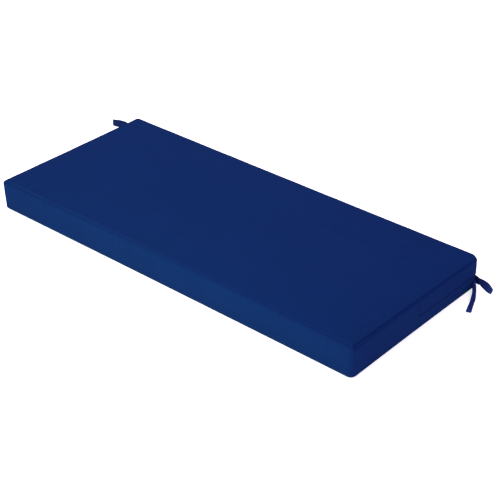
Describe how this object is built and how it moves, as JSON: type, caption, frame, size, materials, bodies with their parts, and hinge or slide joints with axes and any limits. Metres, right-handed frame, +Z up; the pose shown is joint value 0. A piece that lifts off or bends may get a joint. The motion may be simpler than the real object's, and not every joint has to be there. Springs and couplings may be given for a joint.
{
  "type": "swing cushion",
  "caption": "Box-edged seat cushion for a garden swing or bench, lying flat, with flat cloth ties at its two back corners.",
  "frame": {"origin": "middle of the flat underside", "axes": "+X along the cushion's length to its right end, +Y to the back edge with the lapped closing and the ties, +Z up through its thickness"},
  "size_m": [1.219, 0.4833, 0.0794],
  "materials": {
    "cover": "plain-woven navy outdoor canvas, matt",
    "ties": "the cover's navy canvas folded and stitched flat, matt"
  },
  "bodies": {
    "root": {"cushion": "cover", "tie_right_upper": "ties", "tie_right_lower": "ties", "tie_left_upper": "ties", "tie_left_lower": "ties"}
  },
  "joints": []
}
